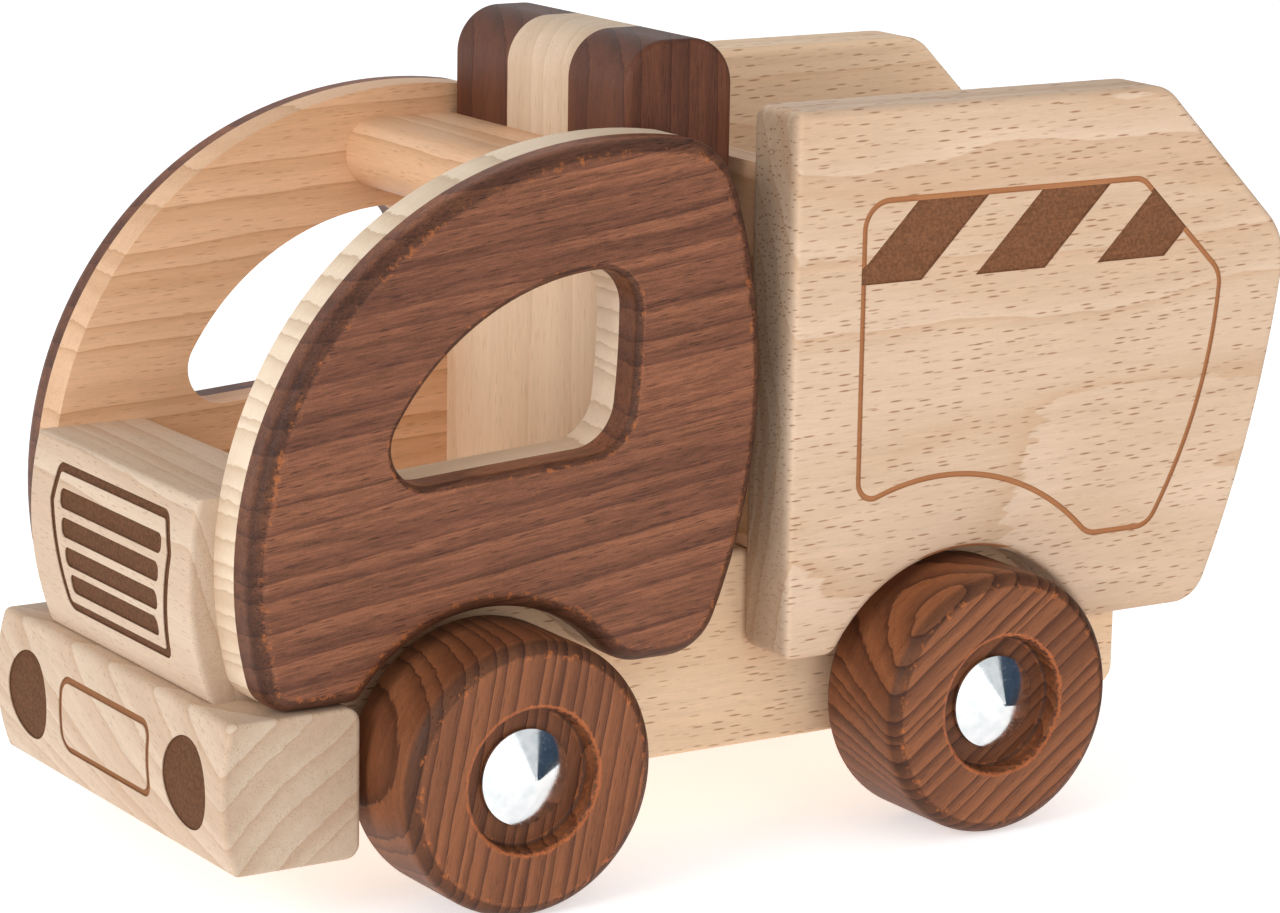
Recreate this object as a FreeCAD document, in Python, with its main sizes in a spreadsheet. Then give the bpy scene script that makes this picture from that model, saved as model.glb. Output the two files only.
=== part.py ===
"""Wooden toy truck with a tipping hopper body, built as separate glued, pinned and turning pieces.

Frame: +Z up, the bumper faces -Y, +X is the truck's own left side.  The origin is on the
ground, under the middle of the truck's length and width.  Every size is in millimetres.

Stations along the truck are measured from the front axle, and heights from the axle line,
because that is how the side outlines are laid out.  at_y() and at_z() turn them into the frame.
"""
import FreeCAD, Part
import math
import os
import Sketcher

doc = FreeCAD.newDocument("toy_truck")
V = FreeCAD.Vector

# ---------------------------------------------------------------- driving dimensions
DIMENSIONS = {
    # wheels and axles
    "wheelbase": 93.3,
    "wheel_radius": 23.0,
    "wheel_width": 20.4,
    "wheel_inner_x": 35.5,
    "wheel_shoulder_radius": 3.0,
    "wheel_back_edge_radius": 1.5,
    "hub_recess_radius": 11.8,
    "hub_recess_depth": 3.6,
    "hub_recess_edge": 0.8,
    "axle_radius": 3.0,
    "axle_half_length": 54.3,
    "cap_radius": 8.0,
    "cap_height": 4.2,
    "cap_straight_rim": 0.6,
    "cap_nose_radius": 0.9,
    "cap_sheet": 0.7,
    "running_clearance": 0.08,
    "side_gap": 0.3,
    "spacer_radius": 7.5,
    # overall stations of the two ends, used to place the origin
    "front_station": -49.4,
    "rear_station": 162.07,
    # chassis beam
    "beam_half_width": 30.0,
    "beam_front_station": -24.4,
    "beam_rear_station": 137.6,
    "beam_bottom_height": -8.6,
    "beam_top_height": 26.0,
    "beam_edge_radius": 1.2,
    "beam_tail_radius": 4.0,
    # bumper
    "bumper_half_width": 43.0,
    "bumper_bottom_height": -12.7,
    "bumper_top_height": 12.4,
    "bumper_top_station": -47.5,
    "bumper_bow_height": 0.5,
    "bumper_foot_station": -46.9,
    "bumper_front_edge_radius": 1.5,
    "bumper_back_edge_radius": 2.5,
    "bumper_end_radius": 1.0,
    # grille block
    "grille_top_station": -46.6,
    "grille_top_height": 46.0,
    "grille_bow_station": -48.3,
    "grille_bow_height": 28.5,
    "grille_foot_station": -44.6,
    "grille_back_station": -27.0,
    "grille_edge_radius": 1.0,
    # cab sides: a light inner layer under a dark outer layer
    "cab_inner_x": 30.0,
    "cab_light_layer": 6.9,
    "cab_dark_layer": 5.9,
    "cab_bottom_height": 12.7,
    "cab_arc_station": 21.5,
    "cab_arc_height": 34.0,
    "cab_arc_radius": 65.5,
    "cab_roof_start_station": -2.0,
    "cab_roof_radius": 77.0,
    "cab_back_arc_station": -49.2,
    "cab_back_arc_height": 58.5,
    "cab_back_arc_radius": 100.9,
    "cab_outer_edge_radius": 3.2,
    "cab_window_edge_radius": 1.6,
    "cab_arch_radius": 29.5,
    "cab_arch_height": -4.3,
    "window_arc_radius": 45.3,
    # roof bar, rear wall and roof block
    "cab_back_station": 32.6,
    "roof_bar_front_station": 12.2,
    "roof_bar_bottom_height": 82.7,
    "roof_bar_top_height": 94.9,
    "roof_bar_front_radius": 5.6,
    "rear_wall_thickness": 14.0,
    "rear_wall_top_height": 82.4,
    "roof_block_outer_layer": 18.2,
    "roof_block_middle_layer": 20.0,
    "roof_block_depth": 21.0,
    "roof_block_top_height": 113.7,
    "roof_block_corner_radius": 8.0,
    "roof_block_edge_radius": 1.2,
    # tipping hopper body
    "hopper_inner_x": 30.5,
    "hopper_side": 13.0,
    "hopper_front_station": 56.2,
    "hopper_bottom_height": 9.3,
    "hopper_top_height": 102.6,
    "hopper_slope_rise": 28.5,
    "hopper_slope_foot_station": 162.7,
    "hopper_rear_bow_station": 156.1,
    "hopper_rear_bow_height": 39.5,
    "hopper_rear_foot_station": 145.2,
    "hopper_arch_radius": 30.6,
    "hopper_arch_height": -5.8,
    "hopper_edge_radius": 1.6,
    "board_thickness": 6.0,
    "front_board_station": 57.4,
    "front_board_top_height": 92.5,
    "floor_height": 26.3,
    "floor_end_station": 138.6,
    "pivot_station": 129.1,
    "pivot_height": 17.5,
    "pivot_radius": 4.0,
    "pivot_clear_radius": 8.5,
    "pin_depth": 8.0,
    # rear flap
    "flap_half_width": 30.1,
    "flap_station": 139.0,
    "flap_thickness": 9.0,
    "flap_bottom_height": 26.8,
    "flap_pin_height": 80.5,
    "flap_pin_radius": 2.5,
    "flap_foot_radius": 2.2,
    # burnt marks
    "mark_depth": 0.35,
    "mark_lead": 2.0,
    "mark_reach": 8.0,
    "side_line": 1.0,
    "plate_line": 1.2,
    "grille_line": 1.6,
    "lamp_radius": 7.7,
    "lamp_x": 29.7,
    "grille_mark_x": 0.9,
    "slot_height": 3.4,
    "stripe_station": 67.6,
    "stripe_bottom_height": 72.7,
    "stripe_top_height": 86.3,
    "stripe_width": 14.8,
    "stripe_pitch": 26.0,
    # glue dowels, and how deep they go into the piece on either side of a joint
    "dowel_radius": 4.0,
    "dowel_depth": 12.0,
    "dowel_layer_depth": 4.0,
    "small_dowel_radius": 2.0,
    "small_dowel_depth": 8.0,
    "small_dowel_side_depth": 6.0,
    "dowel_end_gap": 0.3,
}

sheet = doc.addObject("Spreadsheet::Sheet", "sizes")
for row, (name, value) in enumerate(DIMENSIONS.items(), start=1):
    sheet.set(f"A{row}", name)
    sheet.set(f"B{row}", str(value))
    sheet.setAlias(f"B{row}", name)
doc.recompute()


def size(name):
    """The sheet's own value of a driving dimension."""
    return float(getattr(sheet, name))


# The frame's origin is halfway along the truck, and the wheels stand on Z = 0.
ORIGIN_STATION = (size("front_station") + size("rear_station")) / 2
ORIGIN_TERM = "(sizes.front_station + sizes.rear_station) / 2"
SIDES = {"left": 1, "right": -1}


def at_y(station):
    return station - ORIGIN_STATION


def at_z(height):
    return height + size("wheel_radius")


def seat(station, height):
    """A point of a side outline, as sketched on the YZ plane: x is frame Y, y is frame Z."""
    return V(at_y(station), at_z(height), 0)


def y_term(station):
    """An expression for frame Y, from an expression for a station."""
    return f"{station} - {ORIGIN_TERM}"


def z_term(height):
    """An expression for frame Z, from an expression for a height."""
    return f"{height} + sizes.wheel_radius"


# ---------------------------------------------------------------- sketches
def new_body(label):
    body = doc.addObject("PartDesign::Body", label)
    body.Label = label
    return body


def new_sketch(body, name, role, offset="0"):
    """A sketch on one of the body's own origin planes, moved along the plane's normal.

    The normals are +X for YZ_Plane, -Y for XZ_Plane and +Z for XY_Plane.
    """
    sketch = body.newObject("Sketcher::SketchObject", name)
    plane = next(f for f in body.Origin.OriginFeatures if f.Role == role)
    sketch.AttachmentSupport = [(plane, "")]
    sketch.MapMode = "FlatFace"
    sketch.setExpression(".AttachmentOffset.Base.z", offset)
    return sketch


def line(a, b):
    return Part.LineSegment(a, b)


def closed_lines(points):
    return [line(a, b) for a, b in zip(points, points[1:] + points[:1])]


def draw(sketch, curves):
    """Add a closed run of lines and arcs, each tied end to end with the next."""
    first = sketch.GeometryCount
    for curve in curves:
        sketch.addGeometry(curve, False)
    count = len(curves)
    for index in range(count):
        here, there = first + index, first + (index + 1) % count
        ends = [(a, b) for a in (1, 2) for b in (1, 2)]

        def apart(pair):
            return (sketch.getPoint(here, pair[0]) - sketch.getPoint(there, pair[1])).Length

        a, b = min(ends, key=apart)
        sketch.addConstraint(Sketcher.Constraint("Coincident", here, a, there, b))


def draw_wire(sketch, wire):
    """Add a wire's straight and round edges to a sketch."""
    curves = []
    for edge in wire.OrderedEdges:
        start, end = edge.ParameterRange
        a, b = edge.valueAt(start), edge.valueAt(end)
        if isinstance(edge.Curve, Part.Line):
            curves.append(line(a, b))
        else:
            curves.append(Part.Arc(a, edge.valueAt((start + end) / 2), b))
    draw(sketch, curves)


def bind(sketch, kind, *place, to):
    """Add a dimension to a sketch and bind it to an expression."""
    value = float(sheet.evalExpression(to))
    index = sketch.addConstraint(Sketcher.Constraint(kind, *place, value))
    sketch.setExpression(f"Constraints[{index}]", to)


def draw_rectangle(sketch, front, bottom, back, top):
    """A rectangle on the YZ plane whose four sides are bound to stations and heights."""
    low = [y_term(front), z_term(bottom)]
    high = [y_term(back), z_term(top)]
    x0, y0, x1, y1 = (float(sheet.evalExpression(term)) for term in low + high)
    draw(sketch, closed_lines([V(x0, y0, 0), V(x1, y0, 0), V(x1, y1, 0), V(x0, y1, 0)]))
    for kind, index in (("Horizontal", 0), ("Vertical", 1), ("Horizontal", 2), ("Vertical", 3)):
        sketch.addConstraint(Sketcher.Constraint(kind, index))
    for corner, terms in ((0, low), (2, high)):
        bind(sketch, "DistanceX", -1, 1, corner, 1, to=terms[0])
        bind(sketch, "DistanceY", -1, 1, corner, 1, to=terms[1])


def draw_circle(sketch, centre, radius_term):
    radius = float(sheet.evalExpression(radius_term))
    index = sketch.addGeometry(Part.Circle(centre, V(0, 0, 1), radius), False)
    bind(sketch, "Radius", index, to=radius_term)


# ---------------------------------------------------------------- features
def pad(body, sketch, length, flip=False, name="pad"):
    feature = body.newObject("PartDesign::Pad", name)
    feature.Profile = sketch
    feature.setExpression("Length", length)
    feature.Reversed = flip
    doc.recompute()
    return feature


def pocket(body, sketch, depth, along=False, name="pocket"):
    """Cut a sketch's area out of the body, against the sketch's normal or along it."""
    before = body.Shape.Volume
    feature = body.newObject("PartDesign::Pocket", name)
    feature.Profile = sketch
    feature.setExpression("Length", depth)
    feature.Reversed = along
    doc.recompute()
    if not body.Shape.Volume < before - 0.01:
        raise RuntimeError(f"{body.Label}: {name} cut nothing")
    return feature


def drill(body, role, offset, centres, radius, depth, along=False, name="bores"):
    """Round holes of one radius, all cut from one plane to one depth."""
    sketch = new_sketch(body, f"{name}_sketch", role, offset)
    for centre in centres:
        draw_circle(sketch, centre, radius)
    return pocket(body, sketch, depth, along=along, name=name)


def drill_from_side(body, side, face, centres, radius, depth, outwards=False, name="bores"):
    """Holes along X from a face square to X, inwards to the truck's middle or outwards."""
    sign = SIDES[side]
    along = (sign > 0) == outwards
    return drill(body, "YZ_Plane", f"{sign} * ({face})", centres, radius, depth, along=along, name=name)


def round_edges(body, test, radius, name="round"):
    """Fillet each edge of the body's tip that passes the test."""
    tip = body.Tip
    names = [f"Edge{i}" for i, edge in enumerate(tip.Shape.Edges, start=1) if test(edge)]
    if not names:
        raise RuntimeError(f"{body.Label}: {name} found no edge")
    feature = body.newObject("PartDesign::Fillet", name)
    feature.Base = (tip, names)
    feature.setExpression("Radius", radius)
    doc.recompute()
    return feature


# Each of these takes its numbers and returns a test of an edge, for round_edges.
NEAR = 0.02


def along_x_at(*points):
    """Edges parallel to X that stand on one of the given outline points."""
    def test(edge):
        box = edge.BoundBox
        if box.YLength > NEAR or box.ZLength > NEAR:
            return False
        return any(abs(box.YMin - p.x) < NEAR and abs(box.ZMin - p.y) < NEAR for p in points)
    return test


def in_plane(axis, place):
    """Edges that lie wholly in a plane square to an axis."""
    def test(edge):
        low, high = (getattr(edge.BoundBox, axis + end) for end in ("Min", "Max"))
        return abs(low - place) < NEAR and abs(high - place) < NEAR
    return test


def on_ring(along, radius):
    """The round edge at one distance along the turning axis and one radius from it."""
    def test(edge):
        curve = edge.Curve
        if not isinstance(curve, Part.Circle):
            return False
        return abs(curve.Center.x - along) < NEAR and abs(curve.Radius - radius) < NEAR
    return test


def inside_window(edge):
    """Edges of the cab window rather than of the cab's outline."""
    box = edge.BoundBox
    y_low, y_high = at_y(-24), at_y(29)
    return box.YMin > y_low and box.YMax < y_high and box.ZMin > at_z(41) and box.ZMax < at_z(82)


# ---------------------------------------------------------------- outlines
def above_centre(centre_station, centre_height, radius, station):
    """The point of a circle's upper half at a station."""
    return seat(station, centre_height + math.sqrt(radius ** 2 - (station - centre_station) ** 2))


def reach_at(centre_height, radius, height):
    """How far a circle reaches to either side of its centre at a height."""
    return math.sqrt(radius ** 2 - (height - centre_height) ** 2)


def circles_meet(centre_a, radius_a, centre_b, radius_b):
    """The crossing of two circles that lies to the left of the line from a to b."""
    between = centre_b - centre_a
    gap = between.Length
    along = (radius_a ** 2 - radius_b ** 2 + gap ** 2) / (2 * gap)
    across = math.sqrt(radius_a ** 2 - along ** 2)
    unit = between * (1 / gap)
    return centre_a + unit * along + V(-unit.y, unit.x, 0) * across


def rounded_wire(points, radii, bows=None):
    """Join points by straight edges, or through a bow point by an arc, then round each corner."""
    bows = bows or {}
    edges = []
    for index, (a, b) in enumerate(zip(points, points[1:] + points[:1])):
        curve = Part.Arc(a, bows[index], b) if index in bows else line(a, b)
        edges.append(curve.toShape())
    plate = Part.Face(Part.Wire(edges)).extrude(V(0, 0, 1))
    for point, radius in zip(points, radii):
        upright = [edge for edge in plate.Edges if edge.BoundBox.ZLength > 0.5
                   and abs(edge.BoundBox.XMin - point.x) < NEAR and abs(edge.BoundBox.YMin - point.y) < NEAR]
        plate = plate.makeFillet(radius, upright)
    base = next(face for face in plate.Faces if abs(face.BoundBox.ZMax) < NEAR)
    return base.OuterWire


def rounded_marks(corners, radius):
    """A closed wire on the front of the truck through (across, height) corners, all rounded alike."""
    points = [V(across, at_z(height), 0) for across, height in corners]
    return rounded_wire(points, [radius] * len(points))


def draw_line_along(sketch, wire, width):
    """A closed line of even width: one outline outside the wire and one inside it."""
    draw_wire(sketch, wire.makeOffset2D(width / 2))
    draw_wire(sketch, wire.makeOffset2D(-width / 2))


def bowed_section(top, bow, foot, back_station, set_back=0.0):
    """A side section whose front is an arc through three (station, height) places, straight behind."""
    top, bow, foot = (seat(station + set_back, height) for station, height in (top, bow, foot))
    back = at_y(back_station)
    back_foot, back_top = V(back, foot.y, 0), V(back, top.y, 0)
    return [Part.Arc(top, bow, foot), line(foot, back_foot), line(back_foot, back_top), line(back_top, top)]


def burnt_front(label, blank, marks, section, half_width):
    """Cut marks of one even depth into the bowed front of a blank.

    The marks are padded back from a flat sketch ahead of the front.  Whatever lies behind the
    set-back front is then taken off them, so that only a thin layer is left to cut away.
    """
    burn = new_body(f"{label}_burn")
    ahead = f"sizes.mark_lead - ({y_term('sizes.front_station')})"
    sketch = new_sketch(burn, f"{label}_marks", "XZ_Plane", ahead)
    marks(sketch)
    pad(burn, sketch, "sizes.mark_reach", flip=True)
    core = new_sketch(burn, f"{label}_core", "YZ_Plane", f"-{half_width}")
    draw(core, bowed_section(*section, set_back=size("mark_depth")))
    pocket(burn, core, f"2 * {half_width}", along=True, name="core")
    piece = doc.addObject("Part::Cut", label)
    piece.Label = label
    piece.Base = blank
    piece.Tool = burn
    doc.recompute()
    return piece


# ---------------------------------------------------------------- named places
FRONT_AXLE = seat(0, 0)
REAR_AXLE = seat(size("wheelbase"), 0)
PIVOT = seat(size("pivot_station"), size("pivot_height"))
FLAP_PIN = seat(size("flap_station") + size("flap_thickness") / 2, size("flap_pin_height"))
BUMPER_DOWELS = [V(x, at_z(2.0), 0) for x in (-18.0, 18.0)]
BLOCK_DOWELS = [V(x, at_y(39.6), 0) for x in (-19.0, 0.0, 19.0)]
GRILLE_DOWELS = [seat(-36, 24), seat(-36, 36)]
WALL_DOWELS = [seat(39.6, 40), seat(39.6, 58)]
ROOF_BAR_DOWELS = [seat(23, 88.8)]
CAB_DOWELS = GRILLE_DOWELS + WALL_DOWELS + ROOF_BAR_DOWELS
BOARD_DOWELS = [seat(60.4, 45), seat(60.4, 80)]
FLOOR_DOWELS = [seat(80, 29.3), seat(120, 29.3)]
HOPPER_DOWELS = BOARD_DOWELS + FLOOR_DOWELS


# ---------------------------------------------------------------- chassis and nose
def cross_piece(label, front, bottom, back, top, half_width):
    """A bar or board across the truck, with a rectangular section."""
    body = new_body(label)
    sketch = new_sketch(body, f"{label}_section", "YZ_Plane", f"-{half_width}")
    draw_rectangle(sketch, front, bottom, back, top)
    pad(body, sketch, f"2 * {half_width}")
    return body


def chassis_beam():
    """One thick beam; its upper tail is round about the hopper's pivot, so the floor turns past it."""
    body = new_body("chassis_beam")
    front, back = size("beam_front_station"), size("beam_rear_station")
    bottom, top = size("beam_bottom_height"), size("beam_top_height")
    tail = size("pivot_clear_radius")
    slant = V(tail, tail, 0) * (1 / math.sqrt(2))
    points = [seat(front, bottom), seat(back, bottom), PIVOT + V(tail, 0, 0), PIVOT + V(0, tail, 0),
              seat(front, top)]
    outline = closed_lines(points)
    outline[2] = Part.Arc(points[2], PIVOT + slant, points[3])
    sketch = new_sketch(body, "beam_outline", "YZ_Plane", "-sizes.beam_half_width")
    draw(sketch, outline)
    pad(body, sketch, "2 * sizes.beam_half_width")
    round_edges(body, along_x_at(seat(back, bottom)), "sizes.beam_tail_radius", "round_tail")
    for sign in SIDES.values():
        face = in_plane("X", sign * size("beam_half_width"))
        round_edges(body, face, "sizes.beam_edge_radius", "soften_side")
    through = "2 * sizes.beam_half_width"
    drill_from_side(body, "left", "sizes.beam_half_width", [FRONT_AXLE, REAR_AXLE],
                    "sizes.axle_radius + sizes.running_clearance", through, name="axle_bores")
    drill_from_side(body, "left", "sizes.beam_half_width", [PIVOT],
                    "sizes.pivot_radius + sizes.running_clearance", through, name="pivot_bore")
    drill(body, "XZ_Plane", f"-({y_term('sizes.beam_front_station')})", BUMPER_DOWELS, "sizes.dowel_radius",
          "sizes.dowel_depth", name="dowel_bores")
    return body


def bumper_marks(sketch):
    """Two round lamps and the outline of a plate."""
    for sign in SIDES.values():
        draw_circle(sketch, V(sign * size("lamp_x"), at_z(0), 0), "sizes.lamp_radius")
    plate = rounded_marks([(-16.5, -5.8), (16.5, -5.8), (16.5, 6.3), (-16.5, 6.3)], 2.6)
    draw_line_along(sketch, plate, size("plate_line"))


def grille_marks(sketch):
    """A frame that widens upwards, with four slots inside it."""
    middle = size("grille_mark_x")
    frame = [(-18.4, 18.3), (18.4, 18.3), (22.0, 36.0), (20.0, 41.9), (-20.0, 41.9), (-22.0, 36.0)]
    frame_wire = rounded_marks([(middle + across, height) for across, height in frame], 1.6)
    draw_line_along(sketch, frame_wire, size("grille_line"))
    half_tall = size("slot_height") / 2
    for level, half_long in ((36.9, 19.0), (32.1, 18.2), (27.2, 17.3), (22.6, 16.4)):
        left, right = middle - half_long, middle + half_long
        low, high = level - half_tall, level + half_tall
        draw_wire(sketch, rounded_marks([(left, low), (right, low), (right, high), (left, high)], 1.3))


def bowed_blank(label, section, half_width):
    """A solid across the truck with a bowed front, before its marks are burnt."""
    body = new_body(f"{label}_blank")
    sketch = new_sketch(body, f"{label}_section", "YZ_Plane", f"-{half_width}")
    draw(sketch, bowed_section(*section))
    pad(body, sketch, f"2 * {half_width}")
    return body


def front_bumper():
    """A full-width block with a bowed front, two burnt lamps and a plate outline."""
    back = size("beam_front_station")
    bottom, top = size("bumper_bottom_height"), size("bumper_top_height")
    crest = size("bumper_top_station"), top
    bow = size("front_station"), size("bumper_bow_height")
    foot = size("bumper_foot_station"), bottom
    section = crest, bow, foot, back
    half_width = "sizes.bumper_half_width"
    body = bowed_blank("front_bumper", section, half_width)
    round_edges(body, along_x_at(seat(*crest), seat(*foot)), "sizes.bumper_front_edge_radius", "round_front")
    round_edges(body, along_x_at(seat(back, top), seat(back, bottom)), "sizes.bumper_back_edge_radius",
                "round_back")
    for sign in SIDES.values():
        face = in_plane("X", sign * size("bumper_half_width"))
        round_edges(body, face, "sizes.bumper_end_radius", "soften_end")
    drill(body, "XZ_Plane", f"-({y_term('sizes.beam_front_station')})", BUMPER_DOWELS, "sizes.dowel_radius",
          "sizes.dowel_depth", along=True, name="dowel_bores")
    return burnt_front("front_bumper", body, bumper_marks, section, half_width)


def grille_block():
    """The nose between the cab sides, with a bowed front and a burnt grille."""
    bottom, top = size("bumper_top_height"), size("grille_top_height")
    crest = size("grille_top_station"), top
    bow = size("grille_bow_station"), size("grille_bow_height")
    foot = size("grille_foot_station"), bottom
    section = crest, bow, foot, size("grille_back_station")
    half_width = "sizes.cab_inner_x"
    body = bowed_blank("grille_block", section, half_width)

    def about_front(edge):
        box = edge.BoundBox
        upright = box.XLength < NEAR and box.YMax < at_y(size("grille_foot_station")) + NEAR
        return upright or along_x_at(seat(*crest), seat(*foot))(edge)

    round_edges(body, about_front, "sizes.grille_edge_radius", "soften_front")
    for side in SIDES:
        drill_from_side(body, side, half_width, GRILLE_DOWELS, "sizes.dowel_radius",
                        "sizes.dowel_depth", name="dowel_bores")
    return burnt_front("grille_block", body, grille_marks, section, half_width)


# ---------------------------------------------------------------- cab
NOSE_CENTRE = seat(size("cab_arc_station"), size("cab_arc_height"))
BACK_CENTRE = seat(size("cab_back_arc_station"), size("cab_back_arc_height"))
# The roof arc is flatter than the nose arc, and runs on from it without a kink.
ROOF_START = above_centre(size("cab_arc_station"), size("cab_arc_height"), size("cab_arc_radius"),
                          size("cab_roof_start_station"))
ROOF_CENTRE = ROOF_START + (NOSE_CENTRE - ROOF_START) * (size("cab_roof_radius") / size("cab_arc_radius"))


def cab_corners():
    """The sharp corners of a cab side, before they are rounded."""
    bottom = size("cab_bottom_height")
    front = reach_at(size("cab_arc_height"), size("cab_arc_radius"), bottom)
    arch = reach_at(size("cab_arch_height"), size("cab_arch_radius"), bottom)
    back = reach_at(size("cab_back_arc_height"), size("cab_back_arc_radius"), bottom)
    return {
        "chin": seat(size("cab_arc_station") - front, bottom),
        "crown": circles_meet(BACK_CENTRE, size("cab_back_arc_radius"), ROOF_CENTRE, size("cab_roof_radius")),
        "tail": seat(size("cab_back_arc_station") + back, bottom),
        "arch_back": seat(arch, bottom),
        "arch_front": seat(-arch, bottom),
    }


def cab_outline():
    """The nose, roof and back are three arcs, and the wheel arch is cut in below."""
    p = cab_corners()
    nose_middle = NOSE_CENTRE + V(-1, 1, 0) * (size("cab_arc_radius") / math.sqrt(2))
    roof_top = ROOF_CENTRE + V(0, size("cab_roof_radius"), 0)
    back_middle = BACK_CENTRE + V(size("cab_back_arc_radius"), 0, 0)
    arch_top = seat(0, size("cab_arch_height") + size("cab_arch_radius"))
    return [
        Part.Arc(p["chin"], nose_middle, ROOF_START),
        Part.Arc(ROOF_START, roof_top, p["crown"]),
        Part.Arc(p["crown"], back_middle, p["tail"]),
        line(p["tail"], p["arch_back"]),
        Part.Arc(p["arch_back"], arch_top, p["arch_front"]),
        line(p["arch_front"], p["chin"]),
    ]


def window_wire():
    """The cab window: its upper edge is an arc about the same centre as the cab's own."""
    about_nose = size("cab_arc_station"), size("cab_arc_height"), size("window_arc_radius")
    tip = above_centre(*about_nose, -22.1)
    top = above_centre(*about_nose, 26.3)
    sill = seat(24.8, 49.3)
    bows = {0: seat(1.0, 47.9), 1: seat(26.4, 65.0), 2: above_centre(*about_nose, -5.0)}
    return rounded_wire([tip, sill, top], [6.5, 8.0, 7.0], bows)


def side_plate(label, outline, side, inner, thickness):
    """A plate square to X: its outline padded outwards from an inner face on one side."""
    body = new_body(label)
    sketch = new_sketch(body, f"{label}_outline", "YZ_Plane", f"{SIDES[side]} * ({inner})")
    draw(sketch, outline)
    pad(body, sketch, thickness, flip=side == "right")
    return body


def round_corners(body, corners, radii):
    """Round a side plate's own corners: radii gives (corner name, radius) pairs."""
    for name, radius in radii:
        round_edges(body, along_x_at(corners[name]), str(radius), f"round_{name}")


def cab_side(layer, side):
    """One glued layer of a cab side.  The dark outer layer has a broadly rounded outer edge."""
    outer = layer == "outer"
    inner_face = "sizes.cab_inner_x + sizes.cab_light_layer" if outer else "sizes.cab_inner_x"
    thickness = "sizes.cab_dark_layer" if outer else "sizes.cab_light_layer"
    body = side_plate(f"cab_side_{layer}_{side}", cab_outline(), side, inner_face, thickness)
    round_corners(body, cab_corners(), [("crown", 12.0), ("tail", 10.0), ("arch_back", 10.0),
                                        ("chin", 6.0), ("arch_front", 2.0)])
    window = new_sketch(body, "window_sketch", "YZ_Plane", f"{SIDES[side]} * ({inner_face} + {thickness})")
    draw_wire(window, window_wire())
    pocket(body, window, thickness, along=side == "right", name="window")
    if outer:
        outer_x = SIDES[side] * (size("cab_inner_x") + size("cab_light_layer") + size("cab_dark_layer"))
        on_face = in_plane("X", outer_x)
        round_edges(body, lambda edge: on_face(edge) and inside_window(edge),
                    "sizes.cab_window_edge_radius", "soften_window")
        round_edges(body, lambda edge: on_face(edge) and not inside_window(edge),
                    "sizes.cab_outer_edge_radius", "round_outer_edge")
    else:
        drill_from_side(body, side, "sizes.cab_inner_x", CAB_DOWELS, "sizes.dowel_radius",
                        "sizes.dowel_layer_depth", outwards=True, name="dowel_bores")
    return body


def roof_bar():
    """The bar across the cab roof, with a round front edge."""
    body = cross_piece("roof_bar", "sizes.roof_bar_front_station", "sizes.roof_bar_bottom_height",
                       "sizes.cab_back_station", "sizes.roof_bar_top_height", "sizes.cab_inner_x")
    front = size("roof_bar_front_station")
    ends = along_x_at(seat(front, size("roof_bar_bottom_height")), seat(front, size("roof_bar_top_height")))
    round_edges(body, ends, "sizes.roof_bar_front_radius", "round_front")
    for side in SIDES:
        drill_from_side(body, side, "sizes.cab_inner_x", ROOF_BAR_DOWELS, "sizes.dowel_radius",
                        "sizes.dowel_depth", name="dowel_bores")
    return body


def cab_rear_wall():
    """The upright board behind the cab, standing on the chassis beam."""
    body = cross_piece("cab_rear_wall", "sizes.cab_back_station", "sizes.beam_top_height",
                       "sizes.cab_back_station + sizes.rear_wall_thickness", "sizes.rear_wall_top_height",
                       "sizes.cab_inner_x")
    for side in SIDES:
        drill_from_side(body, side, "sizes.cab_inner_x", WALL_DOWELS, "sizes.dowel_radius",
                        "sizes.dowel_depth", name="dowel_bores")
    drill(body, "XY_Plane", z_term("sizes.rear_wall_top_height"), BLOCK_DOWELS, "sizes.dowel_radius",
          "sizes.dowel_depth", name="block_dowel_bores")
    return body


def roof_block_layer(label, index):
    """One of the three upright layers of the roof block, counted from the right."""
    front, back = size("cab_back_station"), size("cab_back_station") + size("roof_block_depth")
    top = size("roof_block_top_height")
    half_middle = "sizes.roof_block_middle_layer / 2"
    start = (f"-({half_middle} + sizes.roof_block_outer_layer)", f"-{half_middle}", half_middle)[index]
    body = new_body(label)
    sketch = new_sketch(body, f"{label}_section", "YZ_Plane", start)
    draw_rectangle(sketch, "sizes.cab_back_station", "sizes.rear_wall_top_height",
                   "sizes.cab_back_station + sizes.roof_block_depth", "sizes.roof_block_top_height")
    pad(body, sketch, "sizes.roof_block_middle_layer" if index == 1 else "sizes.roof_block_outer_layer")
    round_edges(body, along_x_at(seat(front, top), seat(back, top)), "sizes.roof_block_corner_radius",
                "round_top")
    if index != 1:
        outside = (index - 1) * (size("roof_block_middle_layer") / 2 + size("roof_block_outer_layer"))
        round_edges(body, in_plane("X", outside), "sizes.roof_block_edge_radius", "soften_side")
    drill(body, "XY_Plane", z_term("sizes.rear_wall_top_height"), [BLOCK_DOWELS[index]],
          "sizes.dowel_radius", "sizes.dowel_depth", along=True, name="dowel_bore")
    return body


# ---------------------------------------------------------------- hopper
def hopper_corners():
    bottom, top = size("hopper_bottom_height"), size("hopper_top_height")
    front, arch = size("hopper_front_station"), size("wheelbase")
    reach = reach_at(size("hopper_arch_height"), size("hopper_arch_radius"), bottom)
    slope = size("hopper_slope_rise")
    return {
        "front_foot": seat(front, bottom),
        "front_top": seat(front, top),
        "slope_top": seat(size("hopper_slope_foot_station") - slope, top),
        "slope_foot": seat(size("hopper_slope_foot_station"), top - slope),
        "rear_foot": seat(size("hopper_rear_foot_station"), bottom),
        "arch_back": seat(arch + reach, bottom),
        "arch_front": seat(arch - reach, bottom),
    }


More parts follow.
